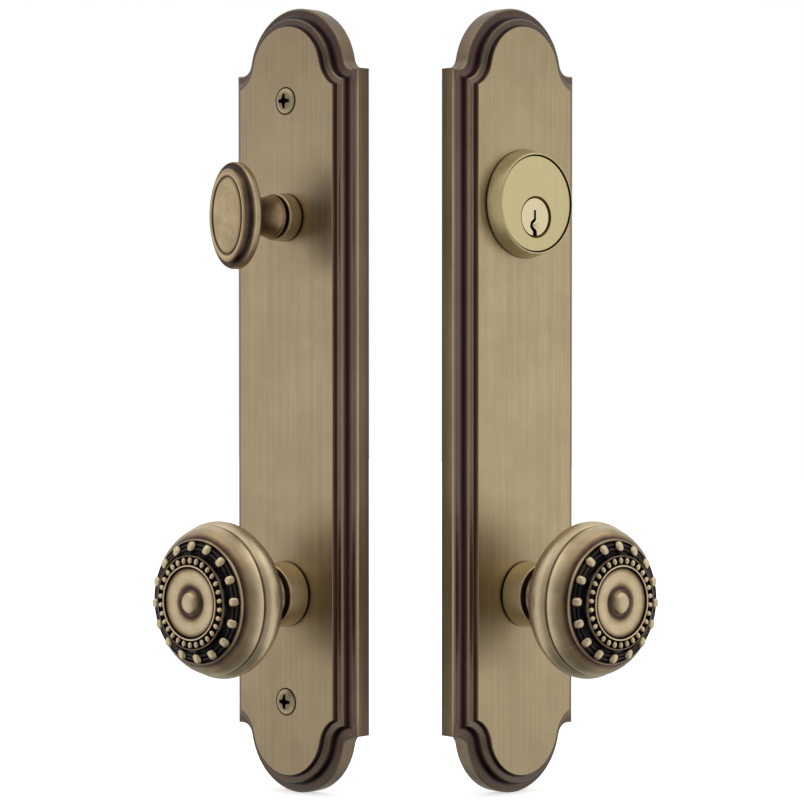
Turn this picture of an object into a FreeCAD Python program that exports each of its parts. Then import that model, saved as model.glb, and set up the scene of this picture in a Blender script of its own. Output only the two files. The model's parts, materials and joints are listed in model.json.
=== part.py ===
import FreeCAD, Part
import math
import os
from FreeCAD import Matrix, Placement, Rotation, Vector

# Entry door handleset: two arched backplates, one for each face of the door.
# The interior trim carries a knob and a thumb turn, the exterior trim a knob and a keyed cylinder.
# Each trim is drawn in its own frame, in millimetres: X across the plate, Y into the door, Z up,
# with the plate's back face on Y = 0 and its centre at the origin.
# The interior trim stays there. The exterior trim is set beside it, turned about Z.

# How the two trims stand side by side
trim_angle = 84.0
trim_spacing = 72.7

# Plate outline: straight sides, square shoulders, small coves and a round arch at each end
plate_width = 61.8
plate_height = 292.1
arch_radius = 24.4
cove_radius = 4.7
shoulder_drop = 23.55

# Plate moulding, from the side wall inwards: two steps, each a round, a flat, a hollow and a lip
# Each pair is how far it goes in from the outline and how far up from the back
side_wall_height = 5.5
outer_round = (1.4, 1.0)
outer_flat = (0.15, 0.0)
outer_hollow = (2.55, 2.55)
outer_lip = (0.0, 0.45)
inner_round = (1.0, 0.55)
inner_flat = (0.2, 0.0)
inner_hollow = (1.8, 1.1)
inner_lip = (0.0, 0.55)
face_round = (0.3, 0.3)

# Plate back: a pocket under the face, with a web across it and bosses for what screws to it
face_wall = 3.0
pocket_margin = 1.2
web_thickness = 4.0
screw_boss_radius = 5.6
small_boss_radius = 3.4
small_boss_height = 1.7

# Where the axes stand on the plate: the spacing of knob and lock, the share of it that is
# below the plate's centre, and how far the plate screws stand beyond the bores
bore_spacing = 139.7
share_below_centre = 0.51
screw_beyond_bore = 41.65

# Clearances
running_clearance = 0.06
seat_clearance = 0.05
bush_hole_clearance = 0.05
moving_gap = 0.2
inner_gap = 0.3

# Knob, as the turned outline of its head, its neck and its shank
knob_projection = 45.3
knob_radius = 28.65
ornament_radius = 22.7
neck_radius = 10.6
neck_waist = 10.2
neck_groove_radius = 9.6
neck_groove_width = 1.1
shank_radius = 7.24
large_bead_count = 16
large_bead_ring = 19.8
large_bead_radius = 1.65
small_bead_count = 30
small_bead_ring = 15.2
small_bead_radius = 0.95

# Knob bushing, its nut and the retaining ring
bushing_length = 9.6
bushing_base_radius = 12.1
bushing_tip_radius = 11.7
bushing_barrel_radius = 9.3
base_line_depth = 0.4
base_line_height = 0.35
nut_radius = 12.2
nut_thickness = 2.6
nut_slot_width = 2.6
barrel_overrun = 0.3
ring_thickness = 0.9
ring_groove_depth = 0.85
ring_radius = 8.8
ring_opening_angle = 50.0

# Square spindle and the set screw that holds the knob on it
spindle_side = 8.0
spindle_reach = 21.5
spindle_in_knob = 28.7
set_screw_radius = 2.0
set_screw_length = 5.4
set_screw_from_end = 5.4
hex_radius = 1.25
hex_depth = 2.0

# Return spring, its cam and the cup that holds it
cam_thickness = 1.6
cam_hub_radius = 9.5
cam_finger_width = 2.0
cam_finger_thickness = 1.0
cup_inner_radius = 18.2
cup_wall = 0.9
cup_hole_radius = 6.3
cup_ear_width = 7.0
cup_screw_offset = 22.6
spring_radius = 14.2
spring_wire = 1.2
spring_turns = 2.0
spring_leg = 3.2
spring_bend = 1.2
small_screw_radius = 1.25
small_screw_head = 2.6
small_screw_head_height = 1.8
small_screw_bite = 3.6
small_screw_slot_width = 0.7

# Through screws and the posts they meet inside the door
screw_shank_radius = 2.4
screw_neck_radius = 2.2
screw_neck_end = 1.0
screw_head_radius = 4.9
screw_head_cone = 2.6
screw_head_dome = 1.2
screw_reach = 29.0
screw_hole_clearance = 0.25
screw_seat_gap = 0.3
screw_seat_gap_depth = 0.5
recess_length = 5.4
recess_width = 1.15
recess_core = 1.3
recess_depth = 2.0
post_radius = 4.0
post_reach = 24.0
post_stud_radius = 2.5
post_stud_length = 7.0
post_thread_radius = 2.1
post_thread_depth = 20.0

# Thumb turn: an oval head on a waisted stem
turn_head_width = 23.8
turn_head_height = 39.0
turn_head_back = 23.2
turn_stem_radius = 6.5
turn_lip_radius = 7.9
turn_neck_radius = 6.0
turn_shaft_radius = 4.94
turn_bushing_radius = 8.8
turn_bushing_length = 6.6
turn_barrel_radius = 6.6
turn_nut_radius = 9.2
turn_nut_thickness = 2.1
turn_groove_gap = 1.2
turn_washer_thickness = 0.45
turn_washer_rise = 0.3
turn_washer_radius = 7.2
turn_clip_thickness = 0.8
turn_clip_radius = 6.8
turn_clip_depth = 0.9
turn_driver_radius = 4.7
turn_driver_reach = 17.0
turn_spigot_radius = 2.95
turn_spigot_length = 7.0
turn_pin_radius = 0.8
tail_slot_depth = 14.0
tail_slot_clearance = 0.3

# Keyed cylinder, with its plug below the centre of its face
cylinder_face_radius = 17.85
cylinder_projection = 5.8
collar_base_radius = 20.1
collar_tip_radius = 18.7
plug_below_face_centre = 5.0
barrel_radius = 8.6
barrel_reach = 8.6
housing_half_width = 4.4
housing_top = 17.2
plug_radius = 6.92
plug_recess_radius = 7.8
plug_recess_depth = 0.6
pin_count = 5
pin_pitch = 3.97
first_pin = 7.6
pin_radius = 1.35
key_pin_bottom = -0.4
key_pin_top = 6.55
driver_pin_bottom = 7.1
driver_pin_length = 4.0
pin_spring_wire = 0.4
pin_spring_turns = 3.0
pin_cover_thickness = 0.7
pin_cover_half_width = 3.2
cylinder_screw_radius = 1.5
cylinder_screw_head = 2.9
cylinder_screw_head_height = 1.8
cylinder_screw_offset = 12.5
cylinder_screw_bite = 4.2
plug_cap_radius = 7.6
plug_cap_wall = 1.0
plug_end_radius = 5.4
plug_end_length = 1.4
tail_disc_thickness = 1.0
tail_disc_radius = 4.6
tail_width = 6.4
tail_thickness = 2.0
tail_reach = 32.0

# Sizes that follow
half_width = plate_width / 2
half_height = plate_height / 2
arch_z = half_height - arch_radius
shoulder_z = half_height - shoulder_drop
cove_z = shoulder_z + cove_radius
cove_x = math.sqrt((arch_radius + cove_radius) ** 2 - (cove_z - arch_z) ** 2)
outer_step = (outer_round, outer_flat, outer_hollow, outer_lip)
inner_step = (inner_round, inner_flat, inner_hollow, inner_lip)
moulding_width = sum(across for across, up in outer_step + inner_step + (face_round,))
moulding_rise = sum(up for across, up in outer_step + inner_step + (face_round,))
plate_depth = side_wall_height + moulding_rise
face_y = -plate_depth
wall_y = face_y + face_wall
pocket_inset = moulding_width + pocket_margin
hub_z = -bore_spacing * share_below_centre
turn_z = hub_z + bore_spacing
screw_z = bore_spacing / 2 + screw_beyond_bore
cut_margin = 1.0
axis_up = Vector(0, 0, 1)
axis_in = Vector(0, 1, 0)
axis_out = Vector(0, -1, 0)


# Shapes that the pieces are made of


def edges_along(place, start, moves):
    """Edges from a start point: a move of two numbers is a line to a point,
    a move of four is an arc through the first point to the second."""
    edges = []
    here = place(*start)
    for move in moves:
        end = place(*move[-2:])
        if len(move) == 4:
            edges.append(Part.Arc(here, place(*move[:2]), end).toShape())
        else:
            edges.append(Part.makeLine(here, end))
        here = end
    return edges


def face_from(place, start, *moves):
    """A flat face inside a closed outline. The last move returns to the start."""
    return Part.Face(Part.Wire(edges_along(place, start, moves + (start,))))


def turned(start, *moves):
    """A solid turned about Y from an outline of radii and Y positions."""
    face = face_from(lambda radius, y: Vector(radius, y, 0), start, *moves)
    return face.revolve(Vector(0, 0, 0), axis_in, 360)


def quarter(start, end, bulge_first):
    """The middle point of a quarter arc between two points. The arc leaves its start along
    the second coordinate when bulge_first is true, otherwise along the first."""
    lean = math.sqrt(0.5)
    du = end[0] - start[0]
    dv = end[1] - start[1]
    if bulge_first:
        return start[0] + du * (1 - lean), start[1] + dv * lean
    return start[0] + du * lean, start[1] + dv * (1 - lean)


def rod(radius, y_from, y_to, x=0.0, z=0.0):
    """A round rod along Y."""
    return Part.makeCylinder(radius, y_to - y_from, Vector(x, y_from, z), axis_in)


def tube(outer, inner, y_from, y_to, x=0.0, z=0.0):
    """A round sleeve along Y."""
    hole = rod(inner, y_from - cut_margin, y_to + cut_margin, x, z)
    return rod(outer, y_from, y_to, x, z).cut(hole)


def block(x_from, x_to, y_from, y_to, z_from, z_to):
    """A box between two corners."""
    corner = Vector(x_from, y_from, z_from)
    return Part.makeBox(x_to - x_from, y_to - y_from, z_to - z_from, corner)


def square_bar(side, y_from, y_to):
    """A square bar along Y."""
    return block(-side / 2, side / 2, y_from, y_to, -side / 2, side / 2)


def at(shape, x=0.0, y=0.0, z=0.0):
    """A moved copy."""
    copy = shape.copy()
    copy.translate(Vector(x, y, z))
    return copy


def around(shape, count):
    """Copies of a shape at equal angles about Y."""
    copies = []
    for i in range(count):
        copy = shape.copy()
        copy.rotate(Vector(0, 0, 0), axis_in, i * 360 / count)
        copies.append(copy)
    return copies


def coil(radius, wire, turns, pitch):
    """A round wire wound about Z, starting at the origin's height."""
    helix = Part.makeHelix(pitch, pitch * turns, radius)
    section = Part.Wire(Part.makeCircle(wire / 2, Vector(radius, 0, 0), Vector(0, 1, 0)))
    return Part.Wire(helix.Edges).makePipeShell([section], True, True)


def split_ring(outer, inner, y_from, y_to, opening_angle):
    """A flat ring with a wedge left out at its top."""
    ring = tube(outer, inner, y_from, y_to)
    reach = outer * 2
    spread = reach * math.tan(math.radians(opening_angle / 2))
    wedge = face_from(
        lambda x, z: Vector(x, y_from - cut_margin, z), (0, 0), (spread, reach), (-spread, reach)
    )
    return ring.cut(wedge.extrude(Vector(0, y_to - y_from + 2 * cut_margin, 0)))


# Backplates


def plate_outline(inset, y):
    """The plate's outline, moved inwards by inset, as a face at a given Y."""
    side = half_width - inset
    arch = arch_radius - inset
    cove = cove_radius + inset
    span = math.hypot(cove_x, cove_z - arch_z)
    lean_x = cove_x / span
    lean_z = (cove_z - arch_z) / span
    meet = (arch * lean_x, arch_z + arch * lean_z)
    if side > cove_x:
        foot = (cove_x, cove_z - cove)
        corner = (side, foot[1])
    else:
        foot = (side, cove_z - math.sqrt(cove**2 - (cove_x - side) ** 2))
        corner = foot
    meet_angle = math.atan2(meet[1] - cove_z, meet[0] - cove_x) % (2 * math.pi)
    foot_angle = math.atan2(foot[1] - cove_z, foot[0] - cove_x) % (2 * math.pi)
    middle_angle = (meet_angle + foot_angle) / 2
    hollow = (cove_x + cove * math.cos(middle_angle), cove_z + cove * math.sin(middle_angle))
    apex = (0.0, arch_z + arch)

    def flip(point, sx, sz):
        return point[0] * sx, point[1] * sz

    moves = []
    if corner != foot:
        moves.append(foot)
    moves.append(hollow + meet)
    moves.append(apex + flip(meet, -1, 1))
    moves.append(flip(hollow, -1, 1) + flip(foot, -1, 1))
    if corner != foot:
        moves.append(flip(corner, -1, 1))
    moves.append(flip(corner, -1, -1))
    if corner != foot:
        moves.append(flip(foot, -1, -1))
    moves.append(flip(hollow, -1, -1) + flip(meet, -1, -1))
    moves.append(flip(apex, 1, -1) + flip(meet, 1, -1))
    moves.append(flip(hollow, 1, -1) + flip(foot, 1, -1))
    if corner != foot:
        moves.append(flip(corner, 1, -1))
    return face_from(lambda x, z: Vector(x, y, z), corner, *moves)


def moulding_waste_outline(place):
    """What the moulding leaves out of the block, as a face. Its two coordinates are the
    distance in from the plate's outline and the height above the back face."""
    beyond = 0.5
    here = (0.0, side_wall_height)
    moves = [here]
    for step in (outer_step, inner_step):
        for kind, (across, up) in zip(("round", "flat", "hollow", "lip"), step):
            end = (here[0] + across, here[1] + up)
            bulge = quarter(here, end, kind == "round") if kind in ("round", "hollow") else ()
            moves.append(bulge + end)
            here = end
    end = (here[0] + face_round[0], here[1] + face_round[1])
    moves.append(quarter(here, end, True) + end)
    moves.append((end[0], end[1] + cut_margin))
    moves.append((-beyond, end[1] + cut_margin))
    return face_from(place, (-beyond, side_wall_height), *moves)


def moulding_waste():
    """The moulding's waste along both sides and round both ends, mitred where they meet."""
    side = moulding_waste_outline(lambda n, h: Vector(half_width - n, -h, -shoulder_z))
    side = side.extrude(Vector(0, 0, 2 * shoulder_z))
    shoulder = moulding_waste_outline(lambda n, h: Vector(cove_x, -h, shoulder_z - n))
    shoulder = shoulder.extrude(Vector(half_width - cove_x + cut_margin, 0, 0))
    lean = math.degrees(math.atan2(cove_z - arch_z, cove_x))
    cove = moulding_waste_outline(lambda n, h: Vector(cove_x, -h, cove_z - cove_radius - n))
    cove = cove.revolve(Vector(cove_x, 0, cove_z), axis_in, 90 - lean)
    arch = moulding_waste_outline(lambda n, h: Vector(arch_radius - n, -h, arch_z))
    arch = arch.revolve(Vector(0, 0, arch_z), axis_out, 180 - 2 * lean)
    arch.rotate(Vector(0, 0, arch_z), axis_out, lean)
    across = Vector(1, 0, 0)
    ends = [cove, cove.mirror(Vector(0, 0, 0), across), arch]
    ends += [end.mirror(Vector(0, 0, 0), axis_up) for end in ends]
    straights = [side, side.mirror(Vector(0, 0, 0), across)]
    shoulders = [shoulder, shoulder.mirror(Vector(0, 0, 0), across)]
    shoulders += [part.mirror(Vector(0, 0, 0), axis_up) for part in shoulders]
    return ends + straights + shoulders


def screw_places():
    """Heights of the two plate screws."""
    return (screw_z, -screw_z)


def cup_screw_places():
    """Heights of the two screws of the spring cup."""
    return (hub_z + cup_screw_offset, hub_z - cup_screw_offset)


def moulded_plate():
    """A plate with its moulded edge, its pocket, web and bosses, and the knob's hole."""
    plate = plate_outline(0.0, 0.0).extrude(Vector(0, face_y, 0))
    for waste in moulding_waste():
        plate = plate.cut(waste)
    pocket = plate_outline(pocket_inset, cut_margin).extrude(Vector(0, wall_y - cut_margin, 0))
    plate = plate.cut(pocket)
    half_pocket = half_width - pocket_inset + pocket_margin / 2
    half_web = web_thickness / 2
    bosses = [block(-half_pocket, half_pocket, wall_y - cut_margin, 0, -half_web, half_web)]
    for z in screw_places():
        bosses.append(rod(screw_boss_radius, wall_y - cut_margin, 0, 0, z))
    for z in cup_screw_places():
        top = wall_y + small_boss_height
        bosses.append(rod(small_boss_radius, wall_y - cut_margin, top, 0, z))
    plate = plate.fuse(bosses)
    bushing_hole = bushing_barrel_radius + bush_hole_clearance
    holes = [rod(bushing_hole, face_y - cut_margin, cut_margin, 0, hub_z)]
    for z in cup_screw_places():
        seat = wall_y + small_boss_height
        bite = small_screw_bite + seat_clearance
        holes.append(rod(small_screw_radius + seat_clearance, seat - bite, cut_margin, 0, z))
    return plate.cut(holes)


def head_cone(extra):
    """The through screw's countersunk cone, grown by a clearance."""
    wide = screw_head_radius + extra
    narrow = screw_neck_radius + extra
    tip = face_y + screw_head_cone
    return turned((0, face_y), (wide, face_y), (narrow, tip), (0, tip))


def interior_plate():
    """The interior plate: two countersunk screw holes and the thumb turn's hole."""
    y_from, y_to = face_y - cut_margin, cut_margin
    holes = [rod(turn_barrel_radius + bush_hole_clearance, y_from, y_to, 0, turn_z)]
    for z in screw_places():
        holes.append(rod(screw_shank_radius + screw_hole_clearance, y_from, y_to, 0, z))
        holes.append(at(head_cone(seat_clearance), z=z))
        rim = screw_head_radius + screw_seat_gap
        holes.append(rod(rim, y_from, face_y + screw_seat_gap_depth, 0, z))
    return moulded_plate().cut(holes)


def exterior_plate():
    """The exterior plate: tapped bosses for the posts and a keyhole-shaped cylinder hole."""
    y_from, y_to = face_y - cut_margin, cut_margin
    holes = [rod(barrel_radius + inner_gap, y_from, y_to, 0, turn_z)]
    half_slot = housing_half_width + inner_gap
    slot_top = turn_z + housing_top + inner_gap
    holes.append(block(-half_slot, half_slot, y_from, y_to, turn_z, slot_top))
    for z in screw_places():
        depth = post_stud_length + seat_clearance
        holes.append(rod(post_stud_radius + seat_clearance, -depth, cut_margin, 0, z))
    for x in (-cylinder_screw_offset, cylinder_screw_offset):
        z = turn_z + plug_below_face_centre
        radius = cylinder_screw_radius + seat_clearance
        holes.append(rod(radius, y_from, y_to, x, z))
    return moulded_plate().cut(holes)


# Knob and what holds it

bushing_tip_y = face_y - bushing_length
knob_back_y = bushing_tip_y - moving_gap
nut_y = wall_y + nut_thickness
barrel_end_y = nut_y + barrel_overrun
ring_y = barrel_end_y + moving_gap
shank_end_y = ring_y + 2 * ring_thickness
cam_y = shank_end_y + cam_thickness
cup_floor_y = cam_y + inner_gap
rim_y = face_y - knob_projection
set_screw_y = shank_end_y - spindle_in_knob + set_screw_from_end
bead_floor_slope = 0.512
channel_inner = 17.5
channel_outer = 21.6
channel_inner_depth = -2.3


def knob_outline():
    """Start and moves of the knob's turned outline: radius, and depth behind the rim."""
    neck_end = knob_back_y - rim_y
    groove = neck_end - neck_groove_width
    channel_outer_depth = channel_inner_depth + (channel_outer - channel_inner) * bead_floor_slope
    link = 0.8
    link_near = large_bead_ring - link
    link_far = large_bead_ring + link
    near_depth = channel_inner_depth + (link_near - channel_inner) * bead_floor_slope
    far_depth = channel_inner_depth + (link_far - channel_inner) * bead_floor_slope
    start = (0.0, -6.1)
    moves = [
        # Centre boss and the hollow round it
        (2.4, -5.7, 3.9, -4.6),
        (5.2, -3.6, 6.7, -3.9),
        # Dished disc and its groove
        (9.6, -3.75, 12.3, -4.3),
        (12.5, -3.8),
        (12.9, -3.8),
        # Inner thin ring, recess of the small beads, outer thin ring
        (13.1, -4.8),
        (13.6, -4.8),
        (13.8, -3.6),
        (16.4, -3.0),
        (16.6, -4.2),
        (17.1, -4.1),
        # Channel of the large beads, with the low ring that links them
        (channel_inner, channel_inner_depth),
        (link_near, near_depth),
        (link_near + 0.1, near_depth - link),
        (link_far - 0.1, far_depth - link),
        (link_far, far_depth),
        (channel_outer, channel_outer_depth),
        # Raised rim and the groove behind it
        (21.9, -0.6),
        (ornament_radius - 0.3, -0.6),
        (ornament_radius, -0.2),
        (ornament_radius + 0.1, 0.5),
        (ornament_radius + 0.5, 0.75),
        # Front bulge, groove, rear bulge
        (knob_radius - 2.95, 3.1, knob_radius - 1.45, 6.3),
        (knob_radius - 1.9, 6.9),
        (knob_radius - 1.35, 7.6),
        (knob_radius, 10.6, knob_radius - 1.65, 14.8),
        (knob_radius - 4.3, 18.6, knob_radius - 9.6, 21.2),
        # Neck, its groove and the shank
        (neck_radius + 2.4, 23.2, neck_waist + 0.2, 26.4),
        (neck_waist, 29.0),
        (neck_radius, groove - 0.4),
        (neck_radius - 0.3, groove),
        (neck_groove_radius, groove),
        (neck_groove_radius, neck_end),
        (shank_radius, neck_end),
        (shank_radius, shank_end_y - rim_y),
        (0.0, shank_end_y - rim_y),
    ]
    return start, moves


def knob():
    """The cast knob: head with its two bead rings, neck, shank and square socket."""
    start, moves = knob_outline()
    body = at(turned(start, *moves), y=rim_y)
    bead_depth = channel_inner_depth + (large_bead_ring - channel_inner) * bead_floor_slope - 1.0
    large = Part.makeSphere(large_bead_radius, Vector(large_bead_ring, rim_y + bead_depth, 0))
    small = Part.makeSphere(small_bead_radius, Vector(small_bead_ring, rim_y - 3.7, 0))
    beads = around(large, large_bead_count) + around(small, small_bead_count)
    body = body.fuse(beads)
    socket = square_bar(
        spindle_side + 2 * seat_clearance,
        shank_end_y - spindle_in_knob - inner_gap,
        shank_end_y + cut_margin,
    )
    groove = tube(
        shank_radius + cut_margin, shank_radius - ring_groove_depth, ring_y, ring_y + ring_thickness
    )
    screw_hole = Part.makeCylinder(
        set_screw_radius + seat_clearance,
        neck_radius + cut_margin,
        Vector(0, set_screw_y, 0),
        Vector(0, 0, -1),
    )
    return body.cut([socket, groove, screw_hole])


def knob_bushing():
    """The tapered collar with its barrel through the plate."""
    bore = shank_radius + running_clearance
    line = face_y - base_line_height
    lip = 0.3
    return turned(
        (bore, bushing_tip_y),
        (bushing_tip_radius - lip, bushing_tip_y),
        (bushing_tip_radius, bushing_tip_y + lip),
        (bushing_base_radius, line),
        (bushing_base_radius - base_line_depth, line),
        (bushing_base_radius - base_line_depth, face_y),
        (bushing_barrel_radius, face_y),
        (bushing_barrel_radius, barrel_end_y),
        (bore, barrel_end_y),
    )


def ring_nut(outer, inner, y_from, y_to):
    """A round nut with four spanner slots."""
    nut = tube(outer, inner, y_from, y_to)
    slot = block(
        outer - nut_slot_width / 2,
        outer + cut_margin,
        y_from - cut_margin,
        y_to + cut_margin,
        -nut_slot_width / 2,
        nut_slot_width / 2,
    )
    return nut.cut(around(slot, 4))


def spring_start_y():
    return wall_y + spring_wire / 2 + moving_gap


def spring_pitch():
    end = shank_end_y - inner_gap - spring_wire / 2
    return (end - spring_start_y()) / spring_turns


def finger_reach():
    """Inner and outer radius of the cam's finger, outside the spring."""
    inner = spring_radius + spring_wire / 2 + inner_gap
    return inner, inner + cam_finger_thickness


def spring_cam():
    """The cam on the spindle, with the finger that pushes the spring's legs."""
    inner, outer = finger_reach()
    half = cam_finger_width / 2
    disc = rod(cam_hub_radius, shank_end_y, cam_y)
    arm = block(-half, half, shank_end_y, cam_y, 0, outer)
    finger = block(-half, half, wall_y + inner_gap, cam_y, inner, outer)
    hole = square_bar(spindle_side + 2 * seat_clearance, shank_end_y - cut_margin, cam_y + cut_margin)
    return disc.fuse([arm, finger]).cut(hole)


def leg_points(end, along):
    """The tip, the bend's start and the bend's middle of a leg that stands outwards from
    the coil's end, given that end and the direction from it into the coil."""
    out = Vector(end.x, 0, end.z).normalize()
    lean = math.sqrt(0.5)
    bend = end + (out - along) * spring_bend
    middle = end + out * spring_bend * (1 - lean) - along * spring_bend * lean
    tip = bend + out * (spring_leg - spring_bend)
    return tip, bend, middle


def return_spring():
    """A torsion spring whose two legs stand either side of the finger at the top."""
    leg_offset = cam_finger_width / 2 + spring_wire / 2 + moving_gap
    lean = math.degrees(math.asin((leg_offset - spring_bend) / spring_radius))
    turns = spring_turns + 2 * lean / 360
    helix = Part.makeHelix(spring_pitch(), spring_pitch() * turns, spring_radius)
    helix.rotate(Vector(0, 0, 0), Vector(1, 0, 0), -90)
    helix.rotate(Vector(0, 0, 0), axis_in, -90 - lean)
    helix.translate(Vector(0, spring_start_y(), 0))
    first, last = helix.Edges[0], helix.Edges[-1]
    start = first.valueAt(first.FirstParameter)
    end = last.valueAt(last.LastParameter)
    tip_a, bend_a, middle_a = leg_points(start, first.tangentAt(first.FirstParameter))
    tip_b, bend_b, middle_b = leg_points(end, -last.tangentAt(last.LastParameter))
    leg_a = [Part.makeLine(tip_a, bend_a), Part.Arc(bend_a, middle_a, start).toShape()]
    leg_b = [Part.Arc(end, middle_b, bend_b).toShape(), Part.makeLine(bend_b, tip_b)]
    section = Part.Wire(Part.makeCircle(spring_wire / 2, tip_a, bend_a - tip_a))
    return Part.Wire(leg_a + helix.Edges + leg_b).makePipeShell([section], True, False)


def spring_cup():
    """The pressed cup over the spring, with two ears and the fixed lug between the legs."""
    inner, outer = finger_reach()
    cup_outer = cup_inner_radius + cup_wall
    rim = wall_y + moving_gap
    back = cup_floor_y + cup_wall
    cup = rod(cup_outer, rim, back).cut(rod(cup_inner_radius, rim - cut_margin, cup_floor_y))
    ear_y = wall_y + small_boss_height
    half = cup_ear_width / 2
    ear_end = cup_screw_offset
    ears = block(-half, half, ear_y, ear_y + cup_wall, -ear_end, ear_end)
    for z in (ear_end, -ear_end):
        ears = ears.fuse(rod(half, ear_y, ear_y + cup_wall, 0, z))
    ears = ears.cut(rod(cup_inner_radius + cup_wall / 2, ear_y - cut_margin, cam_y))
    half_lug = cam_finger_width / 2
    lug = block(
        -half_lug, half_lug, rim, cup_floor_y, outer + inner_gap, cup_inner_radius + cup_wall / 2
    )
    holes = [rod(cup_hole_radius, cup_floor_y - cut_margin, back + cut_margin)]
    for z in (ear_end, -ear_end):
        radius = small_screw_radius + 3 * seat_clearance
        holes.append(rod(radius, ear_y - cut_margin, ear_y + cup_wall + cut_margin, 0, z))
    return cup.fuse([ears, lug]).cut(holes)


def small_screw(radius, head, head_height, seat_y, bite):
    """A round-headed slotted screw driven from behind the plate, towards the face."""
    shank = rod(radius, seat_y - bite, seat_y)
    top = seat_y + head_height
    dome = turned((0, seat_y), (head, seat_y), (head * 0.7, top - head_height / 5, 0, top))
    half = small_screw_slot_width / 2
    slot = block(-head, head, top - head_height / 2, top + cut_margin, -half, half)
    return shank.fuse(dome).cut(slot)


def knob_pieces(side):
    """One trim's knob, its bushing, spring set and spindle, by node name."""
    cup_screw_seat = wall_y + small_boss_height + cup_wall
    screw = small_screw(
        small_screw_radius,
        small_screw_head,
        small_screw_head_height,
        cup_screw_seat,
        small_screw_bite + cup_wall - seat_clearance,
    )
    screws = [at(screw, z=cup_screw_offset), at(screw, z=-cup_screw_offset)]
    spindle_start = shank_end_y - spindle_in_knob
    set_screw = Part.makeCylinder(
        set_screw_radius,
        set_screw_length,
        Vector(0, set_screw_y, -spindle_side / 2),
        Vector(0, 0, -1),
    )
    hex_points = [
        Vector(hex_radius * math.cos(a), set_screw_y + hex_radius * math.sin(a), 0)
        for a in (math.radians(60 * i) for i in range(7))
    ]
    head_z = -spindle_side / 2 - set_screw_length
    hex_hole = Part.Face(Part.makePolygon(hex_points)).extrude(Vector(0, 0, -cut_margin - hex_depth))
    set_screw = set_screw.cut(at(hex_hole, z=head_z + hex_depth))
    pieces = {
        "knob_bushing": knob_bushing(),
        "bushing_nut": ring_nut(nut_radius, bushing_barrel_radius + seat_clearance, wall_y, nut_y),
        "knob": knob(),
        "retaining_ring": split_ring(
            ring_radius,
            shank_radius - ring_groove_depth + seat_clearance,
            ring_y,
            ring_y + ring_thickness,
            ring_opening_angle,
        ),
        "spring_cam": spring_cam(),
        "return_spring": return_spring(),
        "spring_cup": spring_cup(),
        "cup_screws": Part.makeCompound(screws),
        "spindle": square_bar(spindle_side, spindle_start, spindle_reach),
        "set_screw": set_screw,
    }
    return {side + "_" + name: at(shape, z=hub_z) for name, shape in pieces.items()}


# Through screws and posts


def through_screws():
    """Two oval-headed cross-recess screws from the room side."""
    dome_y = face_y - screw_head_dome
    dome = turned(
        (0, face_y),
        (screw_head_radius, face_y),
        (screw_head_radius * 0.62, dome_y + 0.32, 0, dome_y),
    )
    neck = rod(screw_neck_radius, face_y + screw_head_cone, screw_neck_end)
    shank = rod(screw_shank_radius, screw_neck_end, screw_reach)
    screw = dome.fuse([head_cone(0.0), neck, shank])
    half = recess_length / 2
    thin = recess_width / 2
    bottom = dome_y + recess_depth
    arms = [
        block(-half, half, dome_y - cut_margin, bottom, -thin, thin),
        block(-thin, thin, dome_y - cut_margin, bottom, -half, half),
        rod(recess_core, dome_y - cut_margin, bottom),
    ]
    screw = screw.cut(arms)
    return Part.makeCompound([at(screw, z=z) for z in screw_places()])


def threaded_posts():
    """Two posts on the exterior plate that take the through screws inside the door."""
    stud = rod(post_stud_radius, -post_stud_length, 0)
    post = rod(post_radius, 0, post_reach).fuse(stud)
    bore = rod(post_thread_radius, post_reach - post_thread_depth, post_reach + cut_margin)
    post = post.cut(bore)
    return Part.makeCompound([at(post, z=z) for z in screw_places()])


# Thumb turn

turn_bushing_tip_y = face_y - turn_bushing_length
turn_nut_y = wall_y + turn_nut_thickness
turn_barrel_end_y = turn_nut_y + moving_gap
turn_washer_y = turn_barrel_end_y + moving_gap
turn_clip_y = turn_washer_y + turn_washer_thickness + turn_washer_rise
turn_shaft_end_y = turn_clip_y + 2 * turn_clip_thickness
turn_pin_y = turn_shaft_end_y - turn_spigot_length / 2


def turn_bushing():
    """The thumb turn's collar with its barrel through the plate."""
    bore = turn_shaft_radius + running_clearance
    lip = 0.5
    return turned(
        (bore, turn_bushing_tip_y),
        (turn_bushing_radius - lip, turn_bushing_tip_y),
        (turn_bushing_radius, turn_bushing_tip_y + lip),
        (turn_bushing_radius, face_y - lip),
        (turn_bushing_radius - lip, face_y),
        (turn_barrel_radius, face_y),
        (turn_barrel_radius, turn_barrel_end_y),
        (bore, turn_barrel_end_y),
    )


def oval_head():
    """The oval head: ovals from the back edge to the domed middle.
    Each has a half width, a half height and a height above the head's back."""
    half = turn_head_width / 2
    tall = turn_head_height / 2
    ovals = (
        (half - 2.6, tall - 2.6, 0.0),
        (half - 0.6, tall - 0.6, 0.7),
        (half, tall, 1.7),
        (half, tall, 4.2),
        (half - 0.3, tall - 0.3, 4.8),
        (half - 1.5, tall - 1.5, 4.9),
        (half - 2.0, tall - 2.1, 5.4),
        (half - 2.4, tall - 2.5, 6.9),
        (half - 2.9, tall - 3.0, 7.4),
        (half - 3.9, tall - 4.6, 7.5),
        (half - 4.5, tall - 5.5, 7.05),
        (half - 4.9, tall - 5.9, 7.4),
        (half - 7.0, tall - 9.7, 7.8),
        (half - 9.5, tall - 15.0, 8.0),
    )
    back = face_y - turn_head_back
    wires = []
    for half_wide, half_tall, height in ovals:
        y = back - height
        oval = Part.Ellipse(Vector(0, y, half_tall), Vector(half_wide, y, 0), Vector(0, y, 0))
        wires.append(Part.Wire(oval.toShape()))
    return Part.makeLoft(wires, True, True)


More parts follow.
